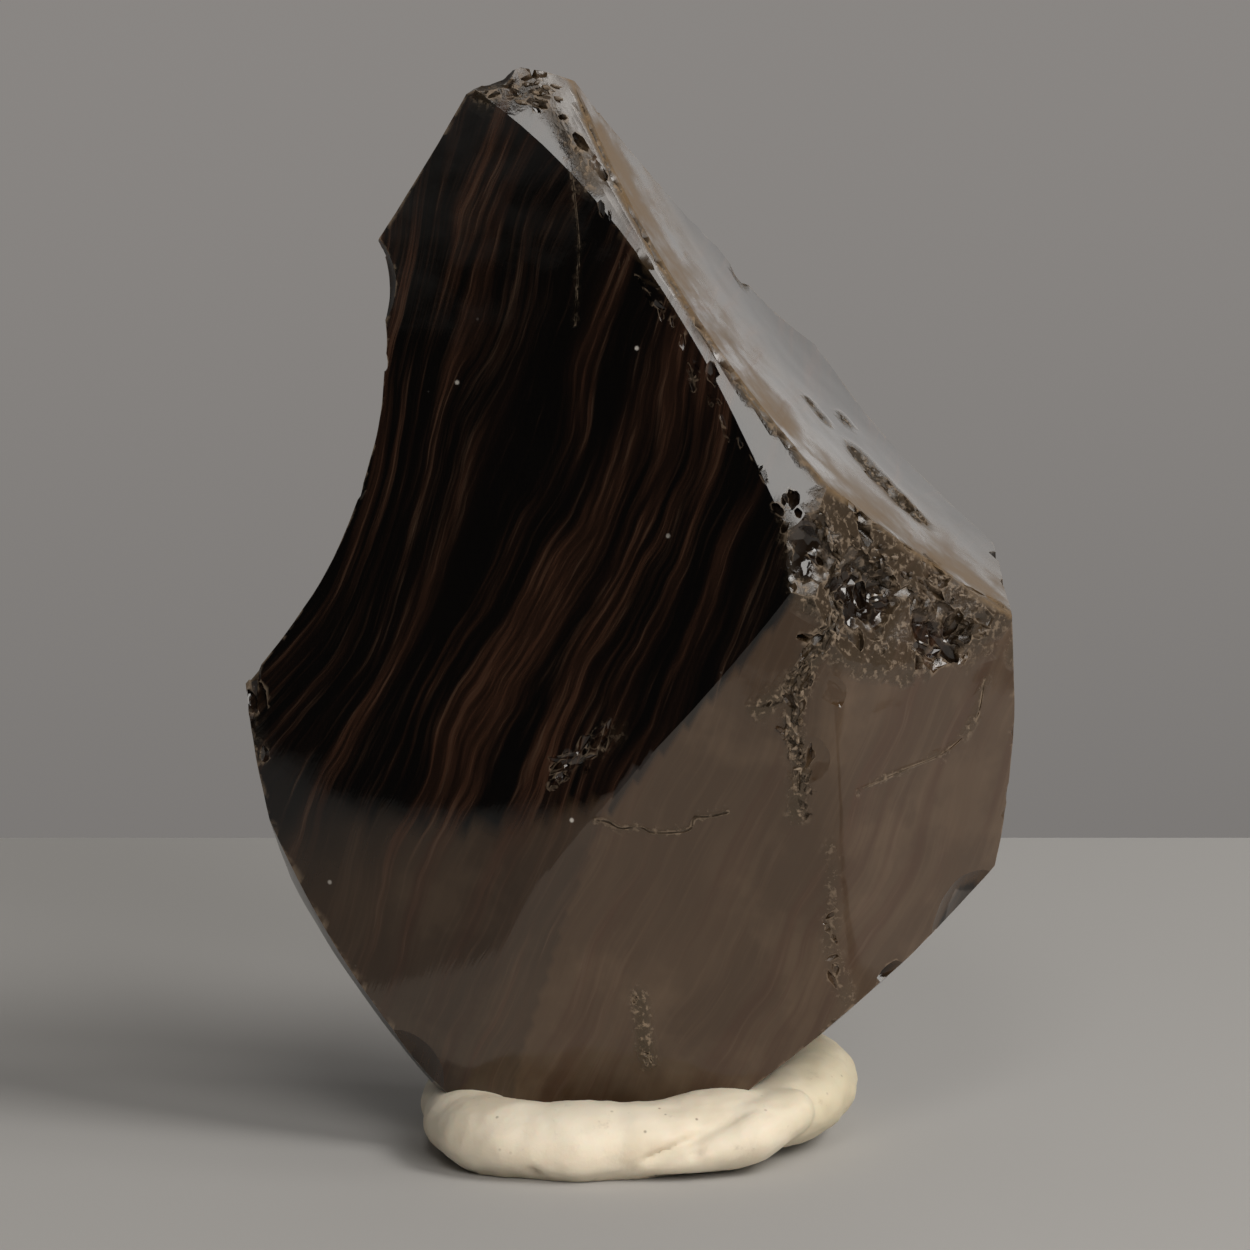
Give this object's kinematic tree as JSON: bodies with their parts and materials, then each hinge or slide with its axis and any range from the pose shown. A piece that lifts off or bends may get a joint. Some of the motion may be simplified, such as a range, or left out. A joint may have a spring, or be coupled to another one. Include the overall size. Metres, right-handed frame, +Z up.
{
  "type": "obsidian chunk",
  "caption": "Upright broken chunk of banded obsidian, standing in a hand-rolled ring of white putty that holds it up for display.",
  "frame": {"origin": "bottom centre of the whole object's bounding box, on the surface the putty stands on", "axes": "+Z up, +X to the right and +Y towards the back when the broad dark face is seen from the front"},
  "size_m": [0.0882, 0.055, 0.1244],
  "materials": {
    "obsidian": "glossy near-black volcanic glass with brown flow bands",
    "putty": "matte cream mounting putty"
  },
  "bodies": {
    "root": {"obsidian_chunk": "obsidian", "putty_ring": "putty"}
  },
  "joints": []
}
